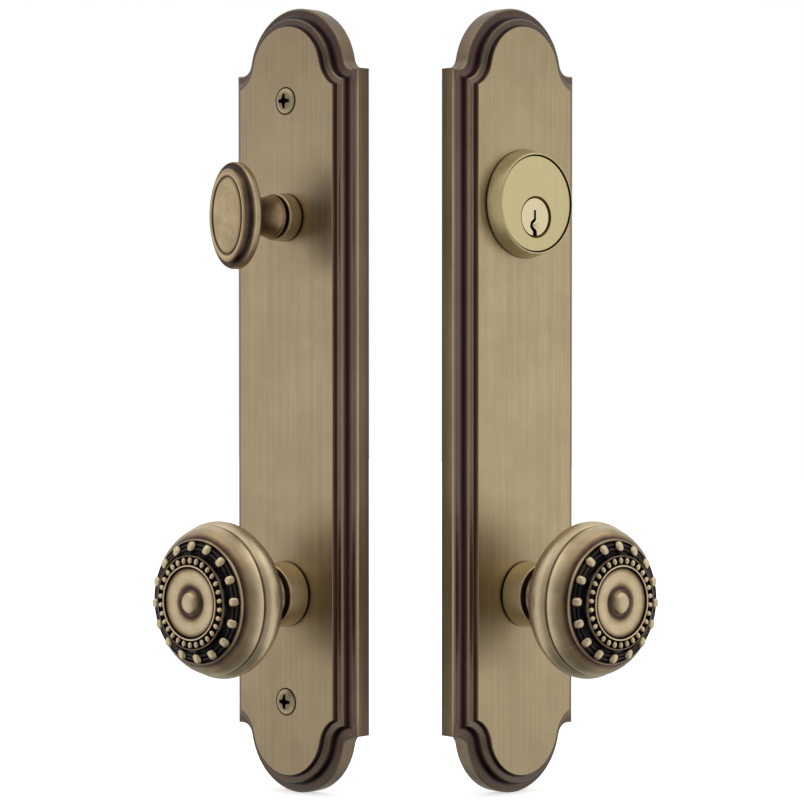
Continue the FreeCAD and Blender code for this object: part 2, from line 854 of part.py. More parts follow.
def thumb_turn():
    """The cast thumb turn: oval head, waisted stem, lip, neck and shaft."""
    lip_y = turn_bushing_tip_y - turn_groove_gap
    head_y = face_y - turn_head_back
    waist_y = (lip_y + head_y) / 2
    neck_y = turn_bushing_tip_y - moving_gap
    stem = turned(
        (0, head_y - 1.5),
        (turn_stem_radius + 1.2, head_y - 1.5),
        (turn_stem_radius + 1.2, head_y),
        (turn_stem_radius + 0.1, head_y + 2.4, turn_stem_radius, waist_y),
        (turn_stem_radius + 0.4, waist_y + 3.2, turn_lip_radius, lip_y - 0.9),
        (turn_lip_radius, lip_y),
        (turn_neck_radius, lip_y),
        (turn_neck_radius, neck_y),
        (turn_shaft_radius, neck_y),
        (turn_shaft_radius, turn_shaft_end_y),
        (0, turn_shaft_end_y),
    )
    bore_start = turn_shaft_end_y - turn_spigot_length - inner_gap
    bore = rod(turn_spigot_radius + seat_clearance, bore_start, turn_shaft_end_y + cut_margin)
    groove = tube(
        turn_shaft_radius + cut_margin,
        turn_shaft_radius - turn_clip_depth,
        turn_clip_y,
        turn_clip_y + turn_clip_thickness,
    )
    return oval_head().fuse(stem).cut([bore, groove, turn_pin(seat_clearance)])


def turn_pin(extra):
    """The cross pin that holds the driver in the thumb turn's shaft."""
    length = 2 * (turn_shaft_radius - moving_gap)
    if extra > 0:
        length = 2 * (turn_shaft_radius + cut_margin)
    start = Vector(-length / 2, turn_pin_y, 0)
    return Part.makeCylinder(turn_pin_radius + extra, length, start, Vector(1, 0, 0))


def turn_driver():
    """The steel driver, whose slot takes the tailpiece."""
    body = rod(turn_driver_radius, turn_shaft_end_y, turn_driver_reach)
    spigot = rod(turn_spigot_radius, turn_shaft_end_y - turn_spigot_length, turn_shaft_end_y)
    half_tall = tail_width / 2 + tail_slot_clearance
    half_wide = tail_thickness / 2 + tail_slot_clearance
    slot = block(
        -half_wide,
        half_wide,
        turn_driver_reach - tail_slot_depth,
        turn_driver_reach + cut_margin,
        -half_tall,
        half_tall,
    )
    return body.fuse(spigot).cut([slot, turn_pin(seat_clearance)])


def turn_washer():
    """A conical spring washer behind the thumb turn's bushing."""
    inner = turn_shaft_radius + seat_clearance
    near = turn_washer_y
    far = near + turn_washer_rise
    return turned(
        (inner, far),
        (turn_washer_radius, near),
        (turn_washer_radius, near + turn_washer_thickness),
        (inner, far + turn_washer_thickness),
    )


def turn_pieces():
    """The thumb turn and what holds it, by node name."""
    pieces = {
        "turn_bushing": turn_bushing(),
        "turn_nut": ring_nut(
            turn_nut_radius, turn_barrel_radius + seat_clearance, wall_y, turn_nut_y
        ),
        "turn_washer": turn_washer(),
        "turn_clip": split_ring(
            turn_clip_radius,
            turn_shaft_radius - turn_clip_depth + seat_clearance,
            turn_clip_y,
            turn_clip_y + turn_clip_thickness,
            ring_opening_angle,
        ),
        "thumb_turn": thumb_turn(),
        "turn_driver": turn_driver(),
        "turn_pin": turn_pin(0.0),
    }
    return {name: at(shape, z=turn_z) for name, shape in pieces.items()}


# Keyed cylinder, drawn about its plug's axis

cylinder_face_y = face_y - cylinder_projection
plug_face_y = cylinder_face_y + plug_recess_depth
plug_end_y = barrel_reach + inner_gap
tail_start_y = plug_end_y + plug_end_length
pin_cover_z = housing_top - pin_cover_thickness
driver_pin_top = driver_pin_bottom + driver_pin_length


def pin_places():
    """Y of each pin chamber."""
    return [plug_face_y + first_pin + i * pin_pitch for i in range(pin_count)]


def upright(radius, z_from, z_to, y):
    """A round rod along Z on the cylinder's centre line."""
    return Part.makeCylinder(radius, z_to - z_from, Vector(0, y, z_from), axis_up)


def cylinder_collar():
    """The tapered ring round the cylinder's face."""
    bore = cylinder_face_radius + seat_clearance
    edge = 0.35
    tip = cylinder_face_y + 0.1
    ring = turned(
        (bore + edge, tip),
        (collar_tip_radius - edge, tip),
        (collar_tip_radius, tip + edge),
        (collar_base_radius, face_y - base_line_height),
        (collar_base_radius - base_line_depth, face_y),
        (bore, face_y),
        (bore, tip + edge),
    )
    return at(ring, z=plug_below_face_centre)


def lock_cylinder():
    """The cylinder: round face, barrel, pin housing, plug bore and pin chambers."""
    edge = 0.4
    face = turned(
        (0, cylinder_face_y),
        (cylinder_face_radius - edge, cylinder_face_y),
        (cylinder_face_radius, cylinder_face_y + edge),
        (cylinder_face_radius, face_y),
        (0, face_y),
    )
    face = at(face, z=plug_below_face_centre)
    barrel = rod(barrel_radius, face_y - cut_margin, barrel_reach)
    half = housing_half_width
    housing = block(-half, half, face_y - cut_margin, barrel_reach, 0, housing_top)
    solid = face.fuse([barrel, housing])
    cuts = [
        rod(plug_radius + running_clearance, cylinder_face_y - cut_margin, barrel_reach + cut_margin),
        rod(plug_recess_radius, cylinder_face_y - cut_margin, plug_face_y),
    ]
    for y in pin_places():
        cuts.append(upright(pin_radius + seat_clearance, 0, housing_top + cut_margin, y))
    for x in (-cylinder_screw_offset, cylinder_screw_offset):
        depth = cylinder_screw_bite + 2 * seat_clearance
        radius = cylinder_screw_radius + seat_clearance
        cuts.append(rod(radius, face_y - depth, face_y + cut_margin, x, plug_below_face_centre))
    return solid.cut(cuts)


def keyway():
    """The key slot's outline, with its side wards, as a solid through the plug."""
    points = (
        (-0.55, 2.6),
        (0.55, 2.6),
        (0.55, -1.2),
        (-1.1, -2.5),
        (-1.1, -3.3),
        (0.9, -5.0),
        (1.2, -8.0),
        (-1.4, -8.0),
        (-1.0, -5.5),
        (-2.5, -3.8),
        (-2.3, -2.0),
        (-0.55, -0.5),
    )
    y_from = plug_face_y - cut_margin
    slot = face_from(lambda x, z: Vector(x, y_from, z), *points)
    return slot.extrude(Vector(0, plug_end_y - inner_gap - y_from, 0))


def key_lead_in():
    """The milled facet beside the keyway: a pyramid with its point in the plug."""
    corners = ((-1.2, -2.9), (2.4, -1.9), (2.2, -5.2))
    point = Vector(-0.7, plug_face_y + 1.0, -3.3)
    rims = []
    for x, z in corners:
        rim = Vector(x, plug_face_y, z)
        rims.append(point + (rim - point) * 1.5)
    base = Part.Face(Part.makePolygon(rims + rims[:1]))
    sides = []
    for i in range(3):
        around_side = [rims[i], rims[(i + 1) % 3], point, rims[i]]
        sides.append(Part.Face(Part.makePolygon(around_side)))
    return Part.Solid(Part.Shell([base] + sides))


def lock_plug():
    """The turning plug: keyway with its milled lead-in, pin chambers and tail end."""
    plug = rod(plug_radius, plug_face_y, plug_end_y).fuse(
        rod(plug_end_radius, plug_end_y - cut_margin, tail_start_y)
    )
    cuts = [keyway(), key_lead_in()]
    for y in pin_places():
        low = key_pin_bottom - inner_gap
        cuts.append(upright(pin_radius + seat_clearance, low, plug_radius + cut_margin, y))
    return plug.cut(cuts)


def key_pins():
    """The pins that ride in the plug, each with a pointed lower end."""
    pins = []
    tip = 0.8
    for y in pin_places():
        cone = Part.makeCone(
            pin_radius * 0.45, pin_radius, tip, Vector(0, y, key_pin_bottom), axis_up
        )
        pins.append(cone.fuse(upright(pin_radius, key_pin_bottom + tip, key_pin_top, y)))
    return Part.makeCompound(pins)


def driver_pins():
    """The pins above the shear line, in the cylinder."""
    return Part.makeCompound(
        [upright(pin_radius, driver_pin_bottom, driver_pin_top, y) for y in pin_places()]
    )


def pin_springs():
    """The coil springs that press the driver pins down."""
    radius = pin_radius - pin_spring_wire / 2 - seat_clearance
    room = pin_cover_z - driver_pin_top - pin_spring_wire - 2 * seat_clearance
    pitch = room / pin_spring_turns
    springs = []
    for y in pin_places():
        spring = coil(radius, pin_spring_wire, pin_spring_turns, pitch)
        spring.translate(Vector(0, y, driver_pin_top + pin_spring_wire / 2 + seat_clearance))
        springs.append(spring)
    return Part.makeCompound(springs)


def cylinder_pieces():
    """The keyed cylinder and all that is in it, by node name."""
    cap_floor_y = tail_start_y + tail_disc_thickness
    cap_end_y = cap_floor_y + plug_cap_wall
    cap = tube(plug_cap_radius, plug_end_radius + seat_clearance, plug_end_y, cap_floor_y)
    cap = cap.fuse(tube(plug_cap_radius, tail_width / 2 + inner_gap, cap_floor_y, cap_end_y))
    blade = block(
        -tail_thickness / 2,
        tail_thickness / 2,
        tail_start_y,
        tail_reach,
        -tail_width / 2,
        tail_width / 2,
    )
    screw = small_screw(
        cylinder_screw_radius,
        cylinder_screw_head,
        cylinder_screw_head_height,
        wall_y,
        face_wall + cylinder_screw_bite,
    )
    screws = []
    for x in (-cylinder_screw_offset, cylinder_screw_offset):
        screws.append(at(screw, x, 0, plug_below_face_centre))
    cover_from = face_y + inner_gap
    half = pin_cover_half_width
    cover = block(-half, half, cover_from, barrel_reach - inner_gap, pin_cover_z, housing_top)
    pieces = {
        "cylinder_collar": cylinder_collar(),
        "lock_cylinder": lock_cylinder().cut(cover),
        "lock_plug": lock_plug(),
        "key_pins": key_pins(),
        "driver_pins": driver_pins(),
        "pin_springs": pin_springs(),
        "pin_cover": cover,
        "plug_cap": cap,
        "tailpiece": blade.fuse(rod(tail_disc_radius, tail_start_y, cap_floor_y)),
        "cylinder_screws": Part.makeCompound(screws),
    }
    return {name: at(shape, z=turn_z) for name, shape in pieces.items()}


# Both trims


def interior_trim():
    pieces = {"interior_plate": interior_plate(), "through_screws": through_screws()}
    pieces.update(knob_pieces("interior"))
    pieces.update(turn_pieces())
    return pieces


def exterior_trim():
    pieces = {"exterior_plate": exterior_plate(), "threaded_posts": threaded_posts()}
    pieces.update(knob_pieces("exterior"))
    pieces.update(cylinder_pieces())
    return pieces


def beside():
    """Where the exterior trim stands: beside the interior one, as an open pair of wings."""
    half_turn = math.radians(trim_angle / 2)
    shift = Vector(trim_spacing * math.cos(half_turn), trim_spacing * math.sin(half_turn), 0)
    return Placement(shift, Rotation(axis_up, trim_angle))


def main():
    os.makedirs("parts", exist_ok=True)
    nodes = interior_trim()
    place = beside().toMatrix()
    for name, shape in exterior_trim().items():
        nodes[name] = shape.transformed(place)
    for name, shape in sorted(nodes.items()):
        shape.exportStep("parts/" + name + ".step")
        print(name, len(shape.Solids), "solids", round(shape.Volume, 1), "mm3", shape.isValid())


main()
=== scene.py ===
"""Looks for the entry door handleset: two antique brass trims side by side on white."""

import json
import math

import bpy
import numpy as np
from mathutils import Matrix, Vector


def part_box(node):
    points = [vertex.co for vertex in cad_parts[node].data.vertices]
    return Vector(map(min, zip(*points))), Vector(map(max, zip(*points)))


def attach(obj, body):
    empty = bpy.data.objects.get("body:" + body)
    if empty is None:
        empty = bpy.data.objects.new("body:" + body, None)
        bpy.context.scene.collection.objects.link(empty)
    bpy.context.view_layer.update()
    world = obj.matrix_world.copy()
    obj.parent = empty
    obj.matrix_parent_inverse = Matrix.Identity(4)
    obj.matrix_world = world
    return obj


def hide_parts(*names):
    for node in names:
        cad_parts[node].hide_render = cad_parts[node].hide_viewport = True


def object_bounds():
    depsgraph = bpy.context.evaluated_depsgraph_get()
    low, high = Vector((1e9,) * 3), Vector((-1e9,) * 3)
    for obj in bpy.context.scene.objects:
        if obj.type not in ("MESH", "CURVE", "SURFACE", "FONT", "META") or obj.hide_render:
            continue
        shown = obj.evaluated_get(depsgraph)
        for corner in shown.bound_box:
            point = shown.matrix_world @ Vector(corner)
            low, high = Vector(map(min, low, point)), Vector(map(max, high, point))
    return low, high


MM = 0.001

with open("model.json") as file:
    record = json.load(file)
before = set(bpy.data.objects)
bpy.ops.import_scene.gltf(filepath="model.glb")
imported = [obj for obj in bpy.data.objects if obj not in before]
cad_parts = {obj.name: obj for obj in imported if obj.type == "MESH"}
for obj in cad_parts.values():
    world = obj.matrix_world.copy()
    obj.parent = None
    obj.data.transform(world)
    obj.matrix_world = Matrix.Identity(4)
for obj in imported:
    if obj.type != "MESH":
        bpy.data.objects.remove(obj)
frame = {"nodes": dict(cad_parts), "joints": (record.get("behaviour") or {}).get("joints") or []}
nodes = frame["nodes"]
joints = {joint["name"]: joint for joint in frame["joints"]}
cad_low, cad_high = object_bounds()


# Sizes, in millimetres. Those that the frame gives are read from it.


def trim_frame(joint):
    """A trim's own frame: Y into the door along its knob, Z up, origin on the plate's back."""
    into_door = Vector(joint["axis"]).normalized()
    across = into_door.cross(Vector((0, 0, 1)))
    place = Matrix((across, into_door, Vector((0, 0, 1)))).transposed().to_4x4()
    x, y, _ = joint["pos_m"]
    place.translation = Vector((x, y, 0))
    return place


def half_size(box, axis):
    """Half of a box's size along an axis."""
    low, high = box
    return (high[axis] - low[axis]) / MM / 2


trims = {side: trim_frame(joints[side + "_knob_turn"]) for side in ("interior", "exterior")}
hub_z = joints["interior_knob_turn"]["pos_m"][2] / MM
turn_z = joints["thumb_turn_turn"]["pos_m"][2] / MM
face_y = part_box("interior_plate")[0][1] / MM

# Knob bushing
bushing_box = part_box("interior_knob_bushing")
bushing_tip_y, bushing_end_y = bushing_box[0][1] / MM, bushing_box[1][1] / MM
bushing_base_radius = half_size(bushing_box, 0)
bushing_bore = 7.4
bushing_barrel_radius = 9.3

# Knob, as radii and depths behind the rim of its ornament
knob_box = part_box("interior_knob")
knob_radius = half_size(knob_box, 0)
boss_rise = 6.1
rim_y = knob_box[0][1] / MM + boss_rise
knob_gap = 0.2
neck_end = bushing_tip_y - knob_gap - rim_y
front_radius = 22.9
channel_inner, channel_outer = 17.5, 21.6
channel_rise = 2.3
channel_slope = 0.512

# Beads: sizes are out of the surface, across the ring and along it
large_beads = 16
large_bead_ring = 20.0
large_bead_rise = 1.3
large_bead_sizes = (1.7, 2.1, 1.75)
large_bead_fullness = 0.75
large_bead_tilt = math.radians(27)
first_bead_angle = math.radians(4)
small_beads = 30
small_bead_ring = 15.2
small_bead_rise = 3.6
small_bead_sizes = (1.25, 1.4, 1.05)
small_bead_tilt = 0.05

# Twin ridges between the large beads: radius and foot behind the rim of each
ridge_rings = ((large_bead_ring - 0.8, -1.1), (large_bead_ring + 0.6, -0.4))
ridge_half_width = 0.45
ridge_height = 1.0

# Thumb turn
turn_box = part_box("thumb_turn")
turn_half_width, turn_half_height = half_size(turn_box, 0), half_size(turn_box, 2)
turn_head_rise = 8.0
turn_head_back = turn_box[0][1] / MM + turn_head_rise
turn_end_y = turn_box[1][1] / MM
turn_bushing_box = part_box("turn_bushing")
turn_bushing_tip_y, turn_bushing_end_y = turn_bushing_box[0][1] / MM, turn_bushing_box[1][1] / MM
turn_bushing_radius = half_size(turn_bushing_box, 0)
turn_lip_y = turn_bushing_tip_y - 1.2

# Plate screws: their height, and the cross recess, whose arms narrow outwards
screw_head_radius = 4.9
screw_z = half_size(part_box("through_screws"), 2) - screw_head_radius
cross_half_width = 1.05
cross_taper = 0.2
cross_reach = 2.7
screw_shank_y = face_y + 3.5

# Cylinder face and its collar
plug_below_face_centre = 5.0
plug_recess_radius = 7.8
cylinder_z = turn_z + plug_below_face_centre
cylinder_face_y = face_y - 5.8
cylinder_face_radius = 17.85
collar_tip_radius, collar_foot_radius = 18.4, 20.1

# Camera and picture
picture_pixels = 804
focal_pixels = 3000
sensor_width = 36
camera_distance = 1122.3
half_angle = math.radians(42)
view_centre = trims["exterior"].translation / 2
camera_elevation = math.radians(1.5)
axis_shift = 3.4
horizon_shift = 0.5
to_camera = Vector((math.sin(half_angle), -math.cos(half_angle), 0))
to_right = Vector((math.cos(half_angle), math.sin(half_angle), 0))


# Outlines


def arc_through(start, middle, end, step=0.3):
    """Points of the round arc from start through middle to end, without its start."""
    (ax, ay), (bx, by), (cx, cy) = start, middle, end
    a, b, c = ax * ax + ay * ay, bx * bx + by * by, cx * cx + cy * cy
    divisor = 2 * (ax * (by - cy) + bx * (cy - ay) + cx * (ay - by))
    centre_x = (a * (by - cy) + b * (cy - ay) + c * (ay - by)) / divisor
    centre_y = (a * (cx - bx) + b * (ax - cx) + c * (bx - ax)) / divisor
    radius = math.hypot(ax - centre_x, ay - centre_y)
    first = math.atan2(ay - centre_y, ax - centre_x)
    turn = (math.atan2(cy - centre_y, cx - centre_x) - first) % (2 * math.pi)
    if (math.atan2(by - centre_y, bx - centre_x) - first) % (2 * math.pi) > turn:
        turn -= 2 * math.pi
    count = max(3, int(abs(turn) * radius / step))
    angles = first + turn * np.arange(1, count + 1) / count
    return [(centre_x + radius * math.cos(a), centre_y + radius * math.sin(a)) for a in angles]


def rounded(points, edge, nearly_straight=-0.94, most_of_run=0.45):
    """The same curve with each clear corner cut back by edge and filled with a small curve.
    A corner whose cosine is under nearly_straight stays, and so does the middle of each run."""
    result = [points[0]]
    for before, here, after in zip(points[:-2], points[1:-1], points[2:]):
        back, ahead = before - here, after - here
        lengths = np.linalg.norm(back), np.linalg.norm(ahead)
        if min(lengths) < 1e-6:
            continue
        cosine = back @ ahead / (lengths[0] * lengths[1])
        if cosine < nearly_straight:
            result.append(here)
            continue
        start = here + back * min(edge / lengths[0], most_of_run)
        end = here + ahead * min(edge / lengths[1], most_of_run)
        for t in (0, 0.25, 0.5, 0.75, 1):
            result.append((1 - t) ** 2 * start + 2 * t * (1 - t) * here + t * t * end)
    result.append(points[-1])
    return np.array(result)


def divided(points, step=0.4):
    """The same curve with more points on its long runs, so that tones can change along them."""
    result = [points[:1]]
    for here, after in zip(points[:-1], points[1:]):
        count = max(1, math.ceil(np.linalg.norm(after - here) / step))
        result.append(here + (after - here) * np.arange(1, count + 1)[:, None] / count)
    return np.concatenate(result)


def outline(start, *moves, edge=0.15):
    """A curve of lines (two numbers) and arcs (four numbers), its corners rounded by edge."""
    points = [start]
    for move in moves:
        if len(move) == 4:
            points += arc_through(points[-1], move[:2], move[2:])
        else:
            points.append(move)
    return divided(rounded(np.array(points, float), edge))


def along_curve(points):
    """The distance of each point from the start of its curve."""
    steps = np.linalg.norm(np.diff(points, axis=0), axis=1)
    return np.concatenate([[0], np.cumsum(steps)])


def tone_at(table, places):
    """Tones read between the rows of a table of place and tone."""
    return np.interp(places, *zip(*table))


# Meshes. A shape is points, faces, and for each point a tone and a grain vector.


def add_mesh(name, points, faces, attributes, trim, material):
    """A smooth mesh from points in a trim's frame, in millimetres, set in the frame's metres."""
    mesh = bpy.data.meshes.new(name)
    place = np.array(trims[trim])
    points = np.asarray(points) * MM @ place[:3, :3].T + place[:3, 3]
    mesh.from_pydata(points.tolist(), [], faces)
    for key, values in attributes.items():
        kind = "FLOAT" if np.ndim(values) == 1 else "FLOAT_VECTOR"
        attribute = mesh.attributes.new(key, kind, "POINT")
        field = "value" if kind == "FLOAT" else "vector"
        attribute.data.foreach_set(field, np.asarray(values, np.float32).ravel())
    mesh.polygons.foreach_set("use_smooth", [True] * len(mesh.polygons))
    mesh.materials.append(material)
    mesh.update()
    thing = bpy.data.objects.new(name, mesh)
    bpy.context.scene.collection.objects.link(thing)
    return thing


def grid_faces(rows, columns):
    """Quads over rows of points that each run once round."""
    faces = []
    for row in range(rows - 1):
        for column in range(columns):
            here = row * columns + column
            after = row * columns + (column + 1) % columns
            faces.append((here, after, after + columns, here + columns))
    return faces


def round_angles(count):
    return np.arange(count) * 2 * math.pi / count


def stacked_ovals(wide, tall, y, height, along, tone, columns):
    """Ovals about an axis along Y at a height, from half widths, half heights and Y positions.
    The grain runs round them, and along says how far on each lies."""
    angles = round_angles(columns)
    across, up = np.cos(angles), np.sin(angles)
    points = np.stack(
        np.broadcast_arrays(wide[:, None] * across, y[:, None], height + tall[:, None] * up),
        axis=-1,
    )
    grain = np.stack(np.broadcast_arrays(across, up, along[:, None]), axis=-1)
    attributes = {"tone": np.repeat(tone, columns), "grain": grain.reshape(-1, 3)}
    return points.reshape(-1, 3), grid_faces(len(y), columns), attributes


def lathe(curve, tones, height, columns=192):
    """A curve of radii and Y positions turned about an axis along Y at a height."""
    radius, y = curve.T
    tones = np.broadcast_to(tones, len(curve))
    return stacked_ovals(radius, radius, y, height, along_curve(curve), tones, columns)


def merged(*shapes):
    """Several shapes as one."""
    points, faces, attributes, start = [], [], {}, 0
    for shape_points, shape_faces, shape_attributes in shapes:
        points.append(shape_points)
        faces += [tuple(i + start for i in face) for face in shape_faces]
        for key, values in shape_attributes.items():
            attributes.setdefault(key, []).append(values)
        start += len(shape_points)
    return (
        np.concatenate(points),
        faces,
        {key: np.concatenate(values) for key, values in attributes.items()},
    )


def fuller(values, power):
    """Sines or cosines pushed outwards, which turns a ball into a rounded peg."""
    return np.sign(values) * np.abs(values) ** power


def bead(centre, frame_axes, sizes, outer_slope_shade, power, rows=12, columns=20):
    """A round bead: its first axis points out of the surface, its second outwards from the knob's
    axis. Patina lies round its foot, and painted shade, by outer_slope_shade, on its outer slope."""
    polar = np.linspace(0, math.pi, rows + 1)
    angles = round_angles(columns)
    across = fuller(np.sin(polar)[:, None], power)
    out = fuller(np.cos(polar)[:, None], power) * np.ones(columns)
    side = across * fuller(np.cos(angles), power)
    up = across * fuller(np.sin(angles), power)
    local = np.stack([out * sizes[0], side * sizes[1], up * sizes[2]], axis=-1).reshape(-1, 3)
    points = centre + local @ np.array(frame_axes)
    # Patina round the foot, painted shade on the outer slope
    tone = np.clip(0.25 + 1.5 * out - outer_slope_shade * np.clip(side, 0, 1), 0.0, 1.05).ravel()
    grain = np.stack([side.ravel(), up.ravel(), out.ravel() * 2], axis=-1)
    return points, grid_faces(rows + 1, columns), {"tone": tone, "grain": grain}


def bead_ring(count, radius, y, tilt, sizes, outer_slope_shade, first, power=1.0):
    """Beads round the knob's axis from a first angle, each leaning outwards by tilt."""
    shapes = []
    for angle in round_angles(count) + first:
        outwards = np.array([math.cos(angle), 0, math.sin(angle)])
        front = np.array([0, -1.0, 0])
        normal = front * math.cos(tilt) + outwards * math.sin(tilt)
        slope = outwards * math.cos(tilt) - front * math.sin(tilt)
        tangent = np.cross(normal, slope)
        centre = np.array([0, y, hub_z]) + outwards * radius
        shapes.append(bead(centre, (normal, slope, tangent), sizes, outer_slope_shade, power))
    return merged(*shapes)


# Colours


def linear(red, green, blue):
    """A colour given as seen on screen, 0 to 255."""
    channels = [c / 255 for c in (red, green, blue)]
    return [c / 12.92 if c < 0.04045 else ((c + 0.055) / 1.055) ** 2.4 for c in channels] + [1]


# Black for painted shade in crevices and recesses
black_shade = linear(16, 15, 17)
# A brown for painted shade lines and crevices on the lock
brown_shade = linear(62, 44, 20)
white = (1, 1, 1, 1)

# Brass by how far the patina is rubbed off it, and in places by painted shade or painted light: 0
# is black, 1 is bright, more is polished
brass_tones = (
    (0.0, linear(13, 12, 14)),
    (0.18, linear(40, 36, 36)),
    (0.35, linear(76, 60, 50)),
    (0.6, linear(122, 103, 77)),
    (0.85, linear(158, 139, 107)),
    (1.0, linear(182, 165, 134)),
    (1.3, linear(214, 198, 158)),
)
# The lock's yellower brass, by the same measure
lock_tones = (
    (0.0, linear(22, 15, 10)),
    (0.3, linear(66, 48, 24)),
    (1.0, linear(178, 163, 116)),
    (1.3, linear(206, 192, 146)),
)

# The plates' faces, one brass but the exterior's painted a little lighter as painted light, and
# how much light their ends keep
plate_brasses = {"interior": linear(161, 144, 115), "exterior": linear(167, 151, 118)}
plate_ends = {"interior": 0.75, "exterior": 0.8}

# The moulding's colours by depth: patina in its coves, darkened further as painted reflections,
# and painted highlight lines on its ridges
moulding_patina_and_reflections = (
    # depth below the plate's face, colour
    (0.25, linear(132, 116, 92)),
    (0.75, linear(112, 98, 80)),
    (1.05, linear(62, 42, 36)),
    (1.65, linear(62, 42, 36)),
    (1.9, linear(122, 104, 94)),
    (2.2, linear(152, 134, 110)),
    (2.5, linear(156, 138, 112)),
    (3.0, linear(104, 86, 66)),
    (3.7, linear(50, 29, 32)),
    (4.6, linear(50, 29, 32)),
    (5.2, linear(104, 87, 82)),
    (5.6, linear(122, 104, 90)),
    (6.0, linear(196, 176, 142)),
    (6.4, linear(160, 139, 113)),
    (11.5, linear(152, 132, 107)),
    (12.0, linear(80, 66, 54)),
)
# The screw heads by radius: a painted highlight ring, and painted shade round the head's edge
# where it sits in its hole
screw_highlight_and_shade_tones = (
    # radius, colour
    (0.0, linear(108, 98, 76)),
    (3.0, linear(126, 114, 90)),
    (3.9, linear(160, 147, 118)),
    (4.5, linear(150, 136, 108)),
    (4.75, linear(40, 30, 26)),
    (6.0, linear(30, 24, 22)),
)
screw_shank = linear(172, 156, 122)


# Materials


class Tree:
    """A small help for building a shader tree."""

    def __init__(self, tree):
        self.tree = tree
        tree.nodes.clear()

    def node(self, kind, sockets=(), **settings):
        made = self.tree.nodes.new(kind)
        for key, value in settings.items():
            setattr(made, key, value)
        for key, value in dict(sockets).items():
            self.put(value, made.inputs[key])
        return made

    def put(self, value, socket):
        if isinstance(value, bpy.types.NodeSocket):
            self.tree.links.new(value, socket)
        else:
            socket.default_value = value

    def math(self, operation, a, b=None):
        sockets = {0: a} if b is None else {0: a, 1: b}
        return self.node("ShaderNodeMath", sockets, operation=operation).outputs[0]

    def distance(self, a, b):
        """The length of the diagonal of two sides."""
        squares = self.math("ADD", self.math("MULTIPLY", a, a), self.math("MULTIPLY", b, b))
        return self.math("SQRT", squares)

    def window(self, value, low, high, to_low=0.0, to_high=1.0):
        """Smoothly from one value to another between two limits."""
        sockets = {"Value": value, "From Min": low, "From Max": high}
        sockets.update({"To Min": to_low, "To Max": to_high})
        made = self.node("ShaderNodeMapRange", sockets, interpolation_type="SMOOTHSTEP")
        return made.outputs[0]

    def vector(self, operation, a, b):
        made = self.node("ShaderNodeVectorMath", {0: a, 1: b}, operation=operation)
        return made.outputs["Value" if operation == "DOT_PRODUCT" else "Vector"]

    def split(self, vector):
        return self.node("ShaderNodeSeparateXYZ", {0: vector}).outputs

    def mix(self, share, a, b):
        made = self.node("ShaderNodeMix", data_type="RGBA")
        self.put(share, made.inputs["Factor"])
        self.put(a, made.inputs["A"])
        self.put(b, made.inputs["B"])
        return made.outputs["Result"]

    def noise(self, vector, scale, detail=3.0, roughness=0.6):
        sockets = {"Vector": vector, "Scale": scale, "Detail": detail, "Roughness": roughness}
        return self.node("ShaderNodeTexNoise", sockets).outputs["Fac"]

    def ramp(self, value, stops):
        """A colour for a value, from stops of value and colour that start at 0."""
        scale = stops[-1][0]
        made = self.node("ShaderNodeValToRGB", {"Fac": self.math("DIVIDE", value, scale)})
        elements = made.color_ramp.elements
        elements[0].color, elements[1].color = stops[0][1], stops[-1][1]
        for at, colour in stops[1:-1]:
            elements.new(at / scale).color = colour
        return made.outputs[0]


def new_material(name):
    material = bpy.data.materials.new(name)
    material.use_nodes = True
    return material, Tree(material.node_tree)


def painted_crevice_shade(tree, colour, reach, share=1.0, dark=black_shade):
    """Painted shade: the colour, turned dark where other surfaces are closer than reach."""
    occlusion = tree.node("ShaderNodeAmbientOcclusion", {"Distance": reach * MM}, samples=6)
    open_share = tree.window(occlusion.outputs["AO"], 0.25, 0.75, 1.0 - share, 1.0)
    return tree.mix(open_share, dark, colour)


def finish_metal(tree, colour, roughness, height=None, bump=0.0, metallic=1.0):
    sockets = {"Base Color": colour, "Metallic": metallic, "Roughness": roughness}
    shader = tree.node("ShaderNodeBsdfPrincipled", sockets)
    if height is not None:
        grooves = {"Height": height, "Strength": bump, "Distance": 0.1 * MM}
        tree.put(tree.node("ShaderNodeBump", grooves).outputs[0], shader.inputs["Normal"])
    tree.node("ShaderNodeOutputMaterial", {0: shader.outputs[0]})


def aged_brass(name, metallic, tones):
    """Brass brushed round its axis, as bright as the mesh's tone says."""
    material, tree = new_material(name)
    tone = tree.node("ShaderNodeAttribute", attribute_name="tone").outputs["Fac"]
    grain = tree.node("ShaderNodeAttribute", attribute_name="grain").outputs["Vector"]
    streaks = tree.noise(tree.vector("MULTIPLY", grain, (1.5, 1.5, 7.0)), 1.0, 4.0)
    clouds = tree.noise(tree.node("ShaderNodeTexCoord").outputs["Object"], 160.0)
    uneven = tree.math(
        "ADD",
        tree.window(clouds, 0.3, 0.7, -0.05, 0.05),
        tree.window(streaks, 0.3, 0.7, -0.04, 0.04),
    )
    colour = tree.ramp(tree.math("ADD", tone, uneven), tones)
    roughness = tree.window(tone, 0.1, 0.9, 0.30, 0.36)
    finish_metal(tree, colour, roughness, streaks, 0.1, metallic)
    return material


def local_coordinates(tree, trim):
    """Object coordinates in a trim's own frame, in millimetres."""
    place = trims[trim].inverted()
    sockets = {
        "Vector": tree.node("ShaderNodeTexCoord").outputs["Object"],
        "Location": place.translation / MM,
        "Rotation": place.to_euler(),
        "Scale": (1 / MM,) * 3,
    }
    return tree.node("ShaderNodeMapping", sockets).outputs[0]


def upright_streaks(tree, local, scale, stretch):
    """Noise drawn out along the height, as brushing leaves it."""
    return tree.noise(tree.vector("MULTIPLY", local, (1.0, 1.0, stretch)), scale, 5.0, 0.75)


